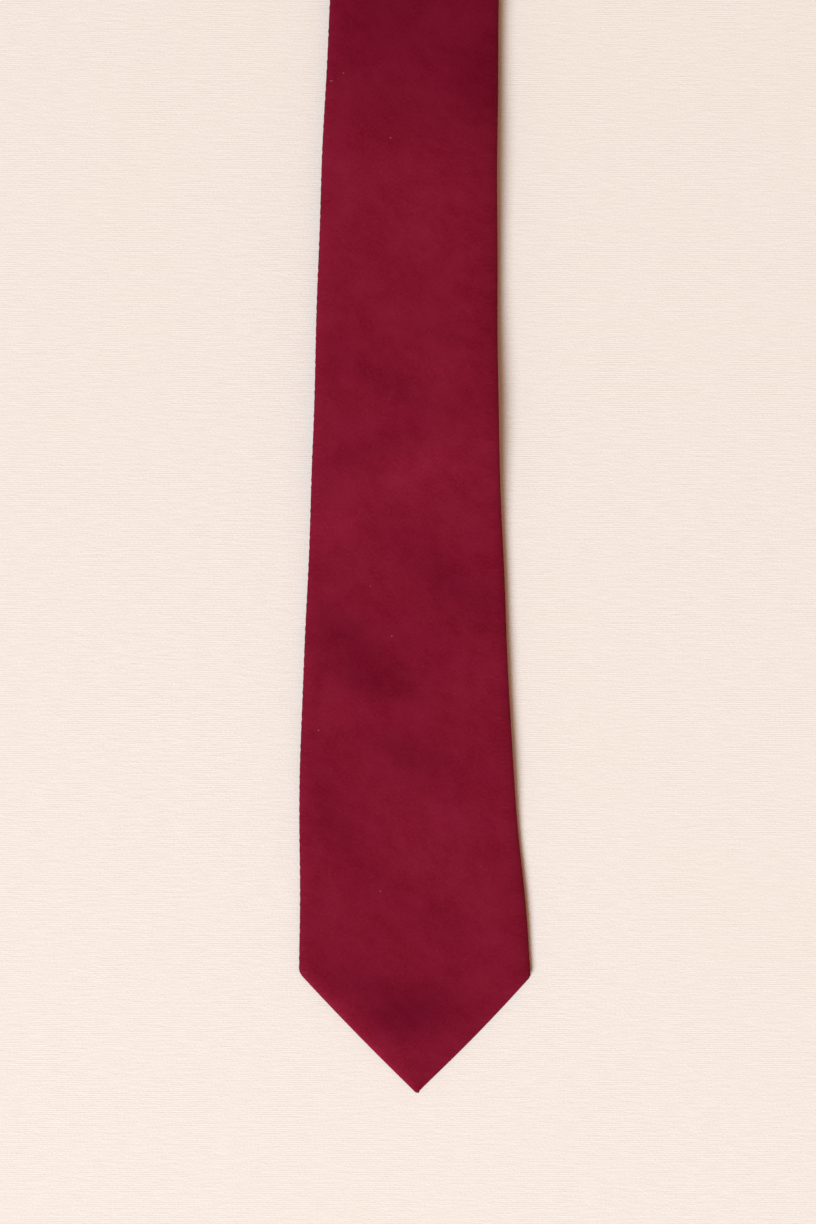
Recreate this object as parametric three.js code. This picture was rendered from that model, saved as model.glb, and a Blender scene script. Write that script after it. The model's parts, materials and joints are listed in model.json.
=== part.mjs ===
// A plain burgundy necktie, laid face up and folded once at the neck, so that its tail
// blade lies under its front blade.  Millimetres, +Z up.  +Y runs from the front blade's
// tip to the neck fold.  The cloth is a flat tube: a face, two rolled edges, and two back
// flaps that meet along the middle, with the interlining inside it.
import * as THREE from 'three';

// Lengths, measured along the middle of the tie from the front blade's tip.
const tieLength = 1470;
const foldAt = 851; // the middle of the neck fold
const liftAt = 226; // the line where the lower front blade lifts
const frontSeamAt = 680; // bias seam between the front blade and the neck band
const tailSeamAt = 1010; // bias seam between the neck band and the tail blade
const interliningJoinAt = 600; // where the two lengths of interlining meet

// Widths.
const bladeWidth = 76;
const bladeFlare = 7.6; // extra width gathered near the front corners
const flareLength = 180;
const flareCurve = 1.15;
const taperLength = 805; // from the front corners to where the neck's width starts
const neckWidth = 35;
const tailWidth = 40;
const tailTaperLength = 430;
const tipWidth = 4.4; // the blunt end of each point
const cornerRounding = 3;
const sideBow = 3.3; // how far the lower front blade lies off a straight line
const sideBowLength = 390;

// Layers, through the cloth.
const clothThickness = 0.5;
const interliningThickness = 0.8;
const tippingThickness = 0.3;
const clearance = 0.3;
const edgeSegments = 4; // flats in each rolled edge

// The back: flaps, tipping, slip stitch and tacks.
const seamGap = 1.2; // between the two flaps
const hemWidth = 9; // cloth turned over the point's edges
const frontTackAt = 118;
const tailTackAt = 62; // from the tail's tip
const tippingPastTack = 12;
const threadThickness = 0.4;
const tackLength = 8;
const tackHeight = 1.6;
const biasShearLength = 75; // over which the stations turn to the 45 degree seam

// Steps between stations.
const lowerStep = 9;
const upperStep = 26;
const neckStep = 13;
const tailStep = 18;

// Label, keeper loop and care label.
const labelWidth = 44;
const labelHeight = 22;
const labelAt = 145;
const labelThickness = 0.3;
const keeperLength = 48;
const keeperWidth = 12;
const keeperAt = 174;
const keeperFoot = 5;
const keeperBow = 0.5; // how far its middle stands off its two ends
const careLabelWidth = 18;
const careLabelHeight = 26;
const careLabelThickness = 0.2;
const careLabelAt = 135; // from the tail's tip
const labelStitchWidth = 0.6;

// The lay of the tie on a table.
const backRoom = 1.4; // height of the label and keeper under the front blade
const layerGap = 1.0; // between the two blades' backs
const stepLength = 36; // the slope where the front blade climbs over the tail's tip
const foldRadius = 5.5; // of the middle of the cloth
const foldRiseLength = 76; // the slope up to the fold

// Worked out from the above.
const bodyThickness = 2 * clothThickness + interliningThickness + tippingThickness + 3 * clearance;
const halfThickness = bodyThickness / 2;
const pointLength = bladeWidth / 2;
const tailPointLength = tailWidth / 2;
const bottomLayer = halfThickness;
const topLayer = bottomLayer + bodyThickness + layerGap;
const foldTop = bottomLayer + 2 * foldRadius;
const halfFoldArc = (Math.PI * foldRadius) / 2;
const foldStart = foldAt - halfFoldArc;
// Straight pieces that meet at this line open out to the same length as the round fold.
const foldLine = foldStart + (Math.PI / 2 - 1) * foldRadius;
const hingeRoom = halfThickness + clearance;
const interliningTop = halfThickness - clothThickness - clearance;
const interliningBottom = interliningTop - interliningThickness;
const tippingTop = interliningBottom - clearance;
const noseReach = Math.sqrt(halfThickness ** 2 - interliningTop ** 2) - 0.02;

function smoothstep(from, to, value) {
  return THREE.MathUtils.smoothstep(value, from, to);
}

// The smaller of two lengths, with the corner between them rounded.
function softMin(a, b, rounding) {
  const overlap = Math.max(rounding - Math.abs(a - b), 0) / rounding;
  return Math.min(a, b) - (overlap ** 2 * rounding) / 4;
}

// Half the tie's width, a distance s along it from the front tip.
function halfWidth(s) {
  const fromCorner = Math.max(s - pointLength, 0);
  const taper = Math.max(1 - fromCorner / taperLength, 0);
  const front = (bladeWidth - neckWidth - bladeFlare) * taper
    + bladeFlare * Math.max(1 - fromCorner / flareLength, 0) ** flareCurve;
  const fromTailCorner = Math.max(tieLength - s - tailPointLength, 0);
  const tail = (tailWidth - neckWidth) * Math.max(1 - fromTailCorner / tailTaperLength, 0);
  const body = (neckWidth + front + tail) / 2;
  const toPoint = Math.min(s, tieLength - s) + tipWidth / 2;
  return softMin(toPoint, body, cornerRounding);
}

// How far the back flaps' inner edges stand from the middle.
function flapEdge(fromTip, tackAt, point, s) {
  const hem = halfWidth(s) - hemWidth * Math.SQRT2;
  const atCorner = halfWidth(tackAt < frontTackAt ? tieLength - point : point)
    - hemWidth * Math.SQRT2;
  const spread = Math.max(tackAt - fromTip, 0) / (tackAt - point);
  const open = fromTip < point ? hem : atCorner * spread;
  const narrowest = Math.min(seamGap / 2, halfWidth(s) - halfThickness - 0.3);
  return Math.max(open, narrowest);
}

function frontFlapEdge(s) {
  return flapEdge(s, frontTackAt, pointLength, s);
}

function tailFlapEdge(s) {
  return flapEdge(tieLength - s, tailTackAt, tailPointLength, s);
}

// The tie's sideways bow, which dies out towards the neck.
function bow(s) {
  const fade = 1 - smoothstep(0.77 * sideBowLength, 1.23 * sideBowLength, s);
  return -sideBow * Math.sin((Math.PI * s) / sideBowLength) * fade;
}

// Height of the middle of the front blade and front neck over the table.
function frontHeight(s) {
  const overLabels = backRoom * smoothstep(frontTackAt - 38, frontTackAt - 8, s);
  const step = (topLayer - bottomLayer - backRoom) * smoothstep(liftAt - stepLength, liftAt - 2, s);
  const riseEnd = foldStart - 4;
  const rise = (foldTop - topLayer) * smoothstep(riseEnd - foldRiseLength, riseEnd, s);
  return bottomLayer + overLabels + step + rise;
}

// A lay says where the middle of the cloth is at s, and which way the tie runs there.
// The side is always +X, and the face looks along side x along.
function frontLay(s) {
  return { at: new THREE.Vector3(bow(s), s, frontHeight(s)), along: new THREE.Vector3(0, 1, 0) };
}

function foldLay(s) {
  const drop = s - foldAt;
  const at = new THREE.Vector3(0, foldLine, bottomLayer + foldRadius - drop);
  return { at, along: new THREE.Vector3(0, 0, -1) };
}

function tailLay(s) {
  const y = 2 * foldAt - s;
  return { at: new THREE.Vector3(bow(y), y, bottomLayer), along: new THREE.Vector3(0, -1, 0) };
}

function placePoint(lay, side, out) {
  const face = new THREE.Vector3(1, 0, 0).cross(lay.along);
  return lay.at.clone().addScaledVector(face, out).add(new THREE.Vector3(side, 0, 0));
}

// A closed solid through rings of points.  A ring goes down one side of a strip and back
// up the other, so point i lies across the strip from point last - i.
function stripSolid(rings) {
  const count = rings[0].length;
  const index = [];
  const quad = (a, b, c, d) => index.push(a, b, c, a, c, d);
  for (let ring = 0; ring < rings.length - 1; ring++) {
    for (let i = 0; i < count; i++) {
      const here = ring * count;
      const next = here + count;
      const j = (i + 1) % count;
      quad(here + i, next + i, next + j, here + j);
    }
  }
  const end = (rings.length - 1) * count;
  for (let i = 0; i < count / 2 - 1; i++) {
    const across = count - 1 - i;
    quad(i, i + 1, across - 1, across);
    quad(end + across, end + across - 1, end + i + 1, end + i);
  }
  const geometry = new THREE.BufferGeometry().setFromPoints(rings.flat());
  geometry.setIndex(index);
  geometry.computeVertexNormals();
  return geometry;
}

// One surface of the flat tube: right flap, right edge, face, left edge, left flap.
function tubePath(width, edge, radius) {
  const points = [new THREE.Vector2(edge, -radius)];
  for (const side of [1, -1]) {
    for (let i = 0; i <= edgeSegments; i++) {
      const turn = Math.PI * (side > 0 ? i / edgeSegments : 1 - i / edgeSegments);
      const out = width - halfThickness + radius * Math.sin(turn);
      points.push(new THREE.Vector2(side * out, -radius * Math.cos(turn)));
    }
  }
  points.push(new THREE.Vector2(-edge, -radius));
  return points;
}

// A point's distance across the flat cloth from the middle of its face.
function acrossCloth(point, width) {
  return point.y < 0 ? Math.sign(point.x) * (2 * width - Math.abs(point.x)) : point.x;
}

// The cloth tube between the given stations.  shear(s) is 1 where it ends on a bias seam:
// there each point moves along the tie by its distance across the flat cloth.
function clothTube(stations, layAt, flapEdgeAt, shear) {
  return stripSolid(stations.map((s) => {
    const flat = tubePath(halfWidth(s), flapEdgeAt(s), halfThickness);
    const surface = (radius) => flat.map((point, i) => {
      const at = s + shear(s) * acrossCloth(point, halfWidth(s));
      const moved = tubePath(halfWidth(at), flapEdgeAt(at), radius)[i];
      return placePoint(layAt(at), moved.x, moved.y);
    });
    return [...surface(halfThickness), ...surface(halfThickness - clothThickness).reverse()];
  }));
}

// A flat strip inside the tube or in its back seam, from low to high through the cloth.
function flatStrip(stations, layAt, halfWidthAt, low, high) {
  return stripSolid(stations.map((s) => {
    const half = halfWidthAt(s);
    const lay = layAt(s);
    return [[-half, low], [half, low], [half, high], [-half, high]].map(
      ([side, out]) => placePoint(lay, side, out),
    );
  }));
}

// Stations at whole steps between two lengths, and at both ends, with extra ones where
// asked.  Pieces with the same step share their stations, so they keep their clearance.
function stationsBetween(from, to, step, extra = []) {
  const room = step / 4;
  const inside = extra.filter((s) => s > from + 0.5 && s < to - 0.5);
  const even = [];
  for (let s = Math.ceil((from + room) / step) * step; s < to - room; s += step) {
    if (inside.every((e) => Math.abs(e - s) > room)) even.push(s);
  }
  return [from, ...even, ...inside, to].sort((a, b) => a - b);
}

function cornerStations(corner) {
  return [-2.5, -1, 0, 1, 2.5].map((offset) => corner + offset * (cornerRounding / 3));
}

function material(color, roughness) {
  return new THREE.MeshStandardMaterial({ color, roughness, metalness: 0 });
}

const shellCloth = () => material(0x7c162b, 0.85);
const liningCloth = () => material(0x5c1224, 0.55);
const interliningCloth = () => material(0xe9e3d3, 0.95);
const thread = () => material(0x6c1427, 0.7);
const labelCloth = () => material(0x1d1a1c, 0.6);
const careLabelCloth = () => material(0xf1efea, 0.6);

const tie = new THREE.Group();

function add(name, geometry, cloth) {
  const mesh = new THREE.Mesh(geometry, cloth);
  mesh.name = name;
  tie.add(mesh);
  return mesh;
}

const seamRoom = clearance + threadThickness / 2; // a cloth end to the middle of its seam
const noShear = () => 0;
const towardsSeam = (seam) => (s) => 1 - smoothstep(seamRoom, biasShearLength, Math.abs(seam - s));
const neckShear = (s) => Math.max(towardsSeam(frontSeamAt)(s), towardsSeam(tailSeamAt)(s));

// The front blade, cut from one piece of cloth, in two lengths that meet at the lift line.
function addFrontBlade() {
  const tipStations = [0, ...cornerStations(pointLength), hemWidth * Math.SQRT2];
  const lower = stationsBetween(0, liftAt, lowerStep, [...tipStations, frontTackAt]);
  add('front_blade_lower', clothTube(lower, frontLay, frontFlapEdge, noShear), shellCloth());
  const upper = stationsBetween(liftAt + hingeRoom, frontSeamAt - seamRoom, upperStep);
  const shear = towardsSeam(frontSeamAt);
  add('front_blade_upper', clothTube(upper, frontLay, frontFlapEdge, shear), shellCloth());
}

// The neck band, cut from one piece, in three lengths: over, round and under the fold.
function addNeckBand() {
  const front = stationsBetween(frontSeamAt + seamRoom, foldLine - hingeRoom, neckStep);
  add('neck_band_front', clothTube(front, frontLay, frontFlapEdge, neckShear), shellCloth());
  const fold = [foldAt - foldRadius, foldAt, foldAt + foldRadius];
  add('neck_band_fold', clothTube(fold, foldLay, tailFlapEdge, noShear), shellCloth());
  const tailStart = 2 * foldAt - (foldLine - hingeRoom);
  const tail = stationsBetween(tailStart, tailSeamAt - seamRoom, tailStep);
  add('neck_band_tail', clothTube(tail, tailLay, tailFlapEdge, neckShear), shellCloth());
}

function addTailBlade() {
  const corners = cornerStations(tieLength - tailPointLength);
  const hem = tieLength - hemWidth * Math.SQRT2;
  const tack = tieLength - tailTackAt;
  const from = tailSeamAt + seamRoom;
  const stations = stationsBetween(from, tieLength, tailStep, [...corners, hem, tack]);
  const shear = towardsSeam(tailSeamAt);
  add('tail_blade', clothTube(stations, tailLay, tailFlapEdge, shear), shellCloth());
}

// The thread of each bias seam, which goes round the tube with the cloth's two cut ends.
function addBiasSeams() {
  const alongSeam = () => 1;
  const seamStations = (at) => [at - threadThickness / 2, at + threadThickness / 2];
  const front = clothTube(seamStations(frontSeamAt), frontLay, frontFlapEdge, alongSeam);
  add('front_bias_seam', front, thread());
  const tail = clothTube(seamStations(tailSeamAt), tailLay, tailFlapEdge, alongSeam);
  add('tail_bias_seam', tail, thread());
}

// The interlining: one length for the front blade, one for the neck and the tail.
function addInterlining() {
  const half = (s) => halfWidth(s) - halfThickness + clearance;
  const strip = (stations, lay) => flatStrip(
    stations, lay, half, interliningBottom, interliningTop,
  );
  const tipRoom = halfThickness + clearance;
  const corner = cornerStations(pointLength);
  const lower = stationsBetween(tipRoom, liftAt + noseReach, lowerStep, corner);
  add('blade_interlining_lower', strip(lower, frontLay), interliningCloth());
  const joinEnd = interliningJoinAt - clearance / 2;
  const upper = stationsBetween(liftAt + hingeRoom, joinEnd, upperStep);
  add('blade_interlining_upper', strip(upper, frontLay), interliningCloth());
  const joinStart = interliningJoinAt + clearance / 2;
  const neck = stationsBetween(joinStart, foldLine - hingeRoom, neckStep);
  add('tail_interlining_front', strip(neck, frontLay), interliningCloth());
  const reach = foldRadius + noseReach;
  add('tail_interlining_fold', strip([foldAt - reach, foldAt + reach], foldLay), interliningCloth());
  const tailStart = 2 * foldAt - (foldLine - hingeRoom);
  const corners = cornerStations(tieLength - tailPointLength);
  const tail = stationsBetween(tailStart, tieLength - tipRoom, tailStep, corners);
  add('tail_interlining', strip(tail, tailLay), interliningCloth());
}

// The lining sewn behind each point, under the flaps.
function addTippings() {
  const half = (s) => halfWidth(s) - halfThickness;
  const low = tippingTop - tippingThickness;
  const start = halfThickness + 4 * clearance;
  const frontEnd = frontTackAt + tippingPastTack;
  const front = stationsBetween(start, frontEnd, lowerStep, cornerStations(pointLength));
  add('front_tipping', flatStrip(front, frontLay, half, low, tippingTop), liningCloth());
  const tailStart = tieLength - tailTackAt - tippingPastTack;
  const corners = cornerStations(tieLength - tailPointLength);
  const tail = stationsBetween(tailStart, tieLength - start, tailStep, corners);
  add('tail_tipping', flatStrip(tail, tailLay, half, low, tippingTop), liningCloth());
}

// The slip stitch: one long thread that draws the two flaps together from tack to tack.
function addSlipStitch() {
  const half = () => seamGap / 2 - clearance;
  const strip = (stations, lay) => flatStrip(
    stations, lay, half, -halfThickness, -halfThickness + threadThickness,
  );
  const pastTack = tackHeight / 2 + clearance;
  const lower = stationsBetween(frontTackAt + pastTack, liftAt, lowerStep);
  add('slip_stitch_lower', strip(lower, frontLay), thread());
  const front = stationsBetween(liftAt + hingeRoom, foldLine - hingeRoom, neckStep);
  add('slip_stitch_front', strip(front, frontLay), thread());
  const fold = [foldAt - foldRadius, foldAt + foldRadius];
  add('slip_stitch_fold', strip(fold, foldLay), thread());
  const tailStart = 2 * foldAt - (foldLine - hingeRoom);
  const tail = stationsBetween(tailStart, tieLength - tailTackAt - pastTack, tailStep);
  add('slip_stitch_tail', strip(tail, tailLay), thread());
}

// A small block on the back of the cloth.  side is off the middle, and lift off the cloth.
function backBlock(name, cloth, layAt, at, size, side = 0, lift = clearance) {
  const mesh = add(name, new THREE.BoxGeometry(size.across, size.along, size.thick), cloth);
  mesh.position.copy(placePoint(layAt(at), side, -halfThickness - lift - size.thick / 2));
}

function addTacks() {
  const tack = { across: tackLength, along: tackHeight, thick: threadThickness };
  backBlock('front_bar_tack', thread(), frontLay, frontTackAt, tack);
  backBlock('tail_bar_tack', thread(), tailLay, tieLength - tailTackAt, tack);
}

function addLabel() {
  const label = { across: labelWidth, along: labelHeight, thick: labelThickness };
  backBlock('blank_label', labelCloth(), frontLay, labelAt, label);
  const stitch = {
    across: labelStitchWidth, along: labelHeight - 2, thick: threadThickness / 2,
  };
  const side = labelWidth / 2 - 1.5;
  const lift = 2 * clearance + labelThickness;
  backBlock('label_stitch_left', labelCloth(), frontLay, labelAt, stitch, -side, lift);
  backBlock('label_stitch_right', labelCloth(), frontLay, labelAt, stitch, side, lift);
}

function addCareLabel() {
  const label = { across: careLabelWidth, along: careLabelHeight, thick: careLabelThickness };
  const at = tieLength - careLabelAt;
  backBlock('care_label', careLabelCloth(), tailLay, at, label);
}

// The keeper loop: a band of the tie's own cloth, tacked at both ends, that bows off the
// front blade's back so that the tail can be slipped through it.
function addKeeper() {
  const half = keeperLength / 2;
  const shape = new THREE.Shape([
    new THREE.Vector2(-half, 0),
    new THREE.Vector2(-half, -clothThickness),
    new THREE.Vector2(-half + keeperFoot, -clothThickness - keeperBow),
    new THREE.Vector2(half - keeperFoot, -clothThickness - keeperBow),
    new THREE.Vector2(half, -clothThickness),
    new THREE.Vector2(half, 0),
    new THREE.Vector2(half - keeperFoot, -keeperBow),
    new THREE.Vector2(-half + keeperFoot, -keeperBow),
  ]);
  const band = new THREE.ExtrudeGeometry(shape, { depth: keeperWidth, bevelEnabled: false });
  const keeper = add('keeper_loop', band, shellCloth());
  keeper.rotation.x = Math.PI / 2;
  const seat = -halfThickness - clearance;
  keeper.position.copy(placePoint(frontLay(keeperAt + keeperWidth / 2), 0, seat));
  const stitch = { across: labelStitchWidth, along: keeperWidth - 3, thick: threadThickness / 2 };
  const lift = 2 * clearance + clothThickness;
  const inset = half - labelStitchWidth;
  backBlock('keeper_tack_left', thread(), frontLay, keeperAt, stitch, -inset, lift);
  backBlock('keeper_tack_right', thread(), frontLay, keeperAt, stitch, inset, lift);
}

addFrontBlade();
addNeckBand();
addTailBlade();
addBiasSeams();
addInterlining();
addTippings();
addSlipStitch();
addTacks();
addLabel();
addCareLabel();
addKeeper();

// The origin is the middle of the underside.
tie.updateMatrixWorld(true);
const extent = new THREE.Box3().setFromObject(tie, true);
const middle = extent.getCenter(new THREE.Vector3());
tie.position.set(-middle.x, -middle.y, -extent.min.z);

export default tie;
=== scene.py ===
import json
import math

import bmesh
import bpy
import numpy as np
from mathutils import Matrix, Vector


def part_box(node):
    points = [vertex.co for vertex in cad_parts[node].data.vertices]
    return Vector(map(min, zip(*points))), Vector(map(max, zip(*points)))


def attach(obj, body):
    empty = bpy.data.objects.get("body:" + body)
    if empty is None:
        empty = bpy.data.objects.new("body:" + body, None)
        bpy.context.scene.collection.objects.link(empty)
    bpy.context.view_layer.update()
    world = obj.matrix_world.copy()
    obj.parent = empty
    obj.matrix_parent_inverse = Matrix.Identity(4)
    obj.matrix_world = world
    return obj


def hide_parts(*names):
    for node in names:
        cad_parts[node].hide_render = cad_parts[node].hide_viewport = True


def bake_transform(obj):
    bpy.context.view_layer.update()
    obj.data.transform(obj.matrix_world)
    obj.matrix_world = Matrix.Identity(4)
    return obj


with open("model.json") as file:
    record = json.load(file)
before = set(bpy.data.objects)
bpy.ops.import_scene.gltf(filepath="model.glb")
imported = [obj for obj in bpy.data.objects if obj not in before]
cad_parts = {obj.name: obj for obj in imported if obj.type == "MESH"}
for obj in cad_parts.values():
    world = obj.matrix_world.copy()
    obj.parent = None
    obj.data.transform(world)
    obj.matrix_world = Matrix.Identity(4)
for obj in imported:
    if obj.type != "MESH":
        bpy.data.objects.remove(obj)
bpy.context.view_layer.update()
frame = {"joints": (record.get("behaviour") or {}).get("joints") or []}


# ---- Camera, lights and table -------------------------------------------------------
# The tie is seen from straight above, close enough that only the front blade's lower
# part is in view.  A large soft lamp stands off to the left, beyond the point, and the
# table under the tie is covered with plain cream canvas.
MM = 0.001
scene = bpy.context.scene
scene.view_settings.view_transform = "Standard"

tip_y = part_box("front_blade_lower")[0].y
view_height = 401 * MM
point_below_middle = 157.2 * MM
view_middle = (-2.3 * MM, tip_y + point_below_middle, 0)

camera_data = bpy.data.cameras.new("camera")
camera_data.sensor_width = 36
camera_data.lens = 85
camera = bpy.data.objects.new("camera", camera_data)
camera_height = view_height * camera_data.lens / camera_data.sensor_width
camera.location = (view_middle[0], view_middle[1], camera_height)
scene.collection.objects.link(camera)
scene.camera = camera

lamp_data = bpy.data.lights.new("window_lamp", "AREA")
lamp_data.shape = "DISK"
lamp_data.size = 5.5
lamp_data.energy = 1290
lamp_data.color = (0.722, 0.885, 1.0)
window_lamp = bpy.data.objects.new("window_lamp", lamp_data)
window_lamp.location = (-3.5, tip_y - 5.9, 6.05)
lamp_aim = bpy.data.objects.new("window_lamp_aim", None)
lamp_aim.location = view_middle
scene.collection.objects.link(lamp_aim)
scene.collection.objects.link(window_lamp)
towards = window_lamp.constraints.new("TRACK_TO")
towards.target = lamp_aim
towards.track_axis = "TRACK_NEGATIVE_Z"
towards.up_axis = "UP_Y"

# The room's own light is pale near the horizon and a warmer tan overhead.
horizon_light = (0.66, 0.57, 0.50, 1)
ceiling_light = (0.458, 0.252, 0.148, 1)
world = bpy.data.worlds.new("room")
world.use_nodes = True
scene.world = world
sky = world.node_tree
upward = sky.nodes.new("ShaderNodeSeparateXYZ")
sky.links.new(sky.nodes.new("ShaderNodeTexCoord").outputs["Generated"], upward.inputs[0])
climb = sky.nodes.new("ShaderNodeMapRange")
climb.inputs["From Min"].default_value = 0.10
climb.inputs["From Max"].default_value = 0.35
sky.links.new(upward.outputs["Z"], climb.inputs["Value"])
glow = sky.nodes.new("ShaderNodeMix")
glow.data_type = "RGBA"
glow.inputs[6].default_value = horizon_light
glow.inputs[7].default_value = ceiling_light
sky.links.new(climb.outputs[0], glow.inputs["Factor"])
sky.links.new(glow.outputs[2], sky.nodes["Background"].inputs["Color"])


class Finish:
    """A material whose nodes are added one by one."""

    def __init__(self, name, roughness):
        self.material = bpy.data.materials.new(name)
        self.material.use_nodes = True
        self.tree = self.material.node_tree
        self.shader = self.tree.nodes["Principled BSDF"]
        self.set(self.shader, {"Roughness": roughness})

    def set(self, node, values):
        """Gives each socket its number or colour, or joins it to another node."""
        for socket, value in values.items():
            if hasattr(value, "bl_idname"):
                self.tree.links.new(value, node.inputs[socket])
            else:
                node.inputs[socket].default_value = value
        return node

    def add(self, kind, values=None, **settings):
        node = self.tree.nodes.new("ShaderNode" + kind)
        for setting, value in settings.items():
            setattr(node, setting, value)
        return self.set(node, values or {})

    def combine(self, operation, first, second):
        """One step of arithmetic on two values."""
        node = self.add("Math", {0: first, 1: second}, operation=operation)
        return node.outputs[0]

    def cloth_place(self, scale=1.0, turn=0.0, stretch=(1, 1, 1)):
        """Where a point lies on the flat cloth, in metres times scale: across, along."""
        place = self.add("Attribute", attribute_name="flat_cloth")
        mapping = self.add("Mapping", {
            "Vector": place.outputs["Vector"],
            "Rotation": (0, 0, turn),
            "Scale": tuple(1 / (scale * side) for side in stretch),
        }, vector_type="TEXTURE")
        return mapping.outputs["Vector"]

    def noise(self, place, detail=2.0, roughness=0.5):
        """Cloudy variation from 0 to 1, about one cloud to each unit of the place."""
        values = {"Vector": place, "Scale": 1.0, "Detail": detail, "Roughness": roughness}
        return self.add("TexNoise", values).outputs[0]

    def blend_colours(self, share, low, high):
        """The low colour where share is 0 and the high one where it is 1."""
        node = self.add("Mix", data_type="RGBA")
        self.set(node, {"Factor": share})
        for socket, value in ((node.inputs[6], low), (node.inputs[7], high)):
            if hasattr(value, "bl_idname"):
                self.tree.links.new(value, socket)
            else:
                socket.default_value = (*value, 1)
        return node.outputs[2]

    def stretch_range(self, value, low, high, new_low=0.0, new_high=1.0):
        """The value between low and high, spread over the new range and held inside it."""
        node = self.add("MapRange", {
            "Value": value, "From Min": low, "From Max": high,
            "To Min": new_low, "To Max": new_high,
        })
        return node.outputs[0]

    def bump(self, height, strength, distance):
        """Fine relief, distance deep where the height changes by 1."""
        node = self.add("Bump", {
            "Height": height, "Strength": strength, "Distance": distance,
        })
        self.tree.links.new(node.outputs[0], self.shader.inputs["Normal"])

    def colour(self, output):
        self.tree.links.new(output, self.shader.inputs["Base Color"])


def canvas_finish():
    """Plain canvas with fine cross ribs, slubs in the yarn, worn patches and specks."""
    finish = Finish("table_canvas", 0.9)
    place = finish.add("TexCoord").outputs["Object"]

    def noise_at(across, along, detail=2.0, roughness=0.5):
        scale = {"Vector": place, "Scale": (across, along, 1)}
        return finish.noise(finish.add("Mapping", scale).outputs[0], detail, roughness)

    slub = noise_at(150, 1100, 3.0, 0.6)
    grain = noise_at(1300, 1500, 2.0, 0.6)
    patch = noise_at(38, 55, 2.0)
    split = finish.add("SeparateXYZ", {0: place})
    rib_pitch = 0.70 * MM
    wander = finish.combine("MULTIPLY", slub, 0.5)
    turns = finish.combine("DIVIDE", split.outputs[1], rib_pitch)
    angle = finish.combine("MULTIPLY", finish.combine("ADD", turns, wander), 2 * math.pi)
    rib = finish.add("Math", {0: angle}, operation="SINE").outputs[0]
    ribbed = finish.stretch_range(patch, 0.45, 0.62, 0.05, 0.16)
    rib = finish.combine("MULTIPLY", rib, ribbed)
    weave = finish.combine("ADD", finish.combine("ADD", slub, grain), rib)
    tone = finish.stretch_range(weave, 0.72, 1.28)
    fine = finish.blend_colours(tone, (0.788, 0.712, 0.640), (0.846, 0.780, 0.718))
    worn = finish.stretch_range(noise_at(7, 7), 0.3, 0.7, 0.0, 0.30)
    colour = finish.blend_colours(worn, fine, (0.840, 0.735, 0.620))
    speck = finish.stretch_range(noise_at(900, 900, 1.0), 0.80, 0.86, 0.0, 0.35)
    finish.colour(finish.blend_colours(speck, colour, (0.45, 0.38, 0.33)))
    finish.bump(weave, 0.4, 0.20 * MM)
    return finish.material


table_mesh = bpy.data.meshes.new("table_top")
reach = 25.0
table_mesh.from_pydata(
    [(-reach, -reach, 0), (reach, -reach, 0), (reach, reach, 0), (-reach, reach, 0)],
    [], [(0, 1, 2, 3)],
)
table_top = bpy.data.objects.new("table_top", table_mesh)
table_mesh.materials.append(canvas_finish())
scene.collection.objects.link(table_top)


# ---- Front blade --------------------------------------------------------------------
# The wide end of the tie, cut on the bias from one piece of fine wool and silk cloth.
# Its sides are folded to the middle of the back over the interlining and left as soft,
# unpressed rolls, and its point is hemmed over the lining.
joints = {joint["name"]: joint["pos_m"] for joint in frame["joints"]}
middle_x = joints["fold_open_upper"][0]

# Places along the tie, from the front tip: the lift line, the bias seams, the bar tacks
# (the tail's from the tail's tip) and the neck fold.
tie_length = 1470 * MM
lift_at = joints["blade_lift"][1] - tip_y
front_seam_at, tail_seam_at = 680 * MM, 1010 * MM
front_tack_at, tail_tack_at = 118 * MM, 62 * MM
fold_radius = (joints["fold_open_upper"][2] - joints["fold_open_lower"][2]) / 2
fold_line = joints["fold_open_upper"][1] - tip_y
fold_start = fold_line - (math.pi / 2 - 1) * fold_radius
fold_at = fold_start + math.pi / 2 * fold_radius

# The outline.  The blade is gathered a little wider towards its two corners.
blade_width, taper_length = 76 * MM, 805 * MM
blade_flare, flare_length, flare_curve = 7.6 * MM, 180 * MM, 1.15
waist_depth, waist_at, waist_length = 0.25 * MM, 195 * MM, 75 * MM
neck_width = 35 * MM
tail_width, tail_taper_length = 40 * MM, 430 * MM
tip_width = 0.8 * MM
side_bow, side_bow_length = 3.3 * MM, 390 * MM

# The cloth, and what is turned in at the flaps, the hems and the seams.
cloth_thickness, half_thickness = 0.5 * MM, 1.5 * MM
left_roll, right_roll = 2.8 * MM, 4.2 * MM
hem_width = 9 * MM
seam_gap = 0.08 * MM
half_groove = 0.1 * MM

# Heights of the middle of the cloth: the tail on the table, and the front over it.
tail_height = half_thickness
front_height = joints["blade_lift"][2]
back_room = 1.4 * MM
step_length = 52 * MM
fold_rise_length = 76 * MM


def smoothstep(start, end, value):
    """0 before the start, 1 past the end, and an even slope with soft ends between."""
    share = np.clip((value - start) / (end - start), 0, 1)
    return share * share * (3 - 2 * share)


def soft_min(a, b, rounding):
    """The smaller of two widths, with the corner between them rounded off."""
    overlap = np.maximum(rounding - np.abs(a - b), 0) / rounding
    return np.minimum(a, b) - overlap ** 2 * rounding / 4


def edge_waver(s, right):
    """The hand-rolled edge is never quite straight."""
    phase = np.where(right, 0.0, 2.1)
    slow = 0.08 * MM * np.sin(s / (8.3 * MM) + phase)
    quick = np.where(right, 0.03, 0.10) * MM * np.sin(s / (0.47 * MM) + phase)
    return slow + quick * np.sin(s / (3.1 * MM) + 3 * phase)


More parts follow.
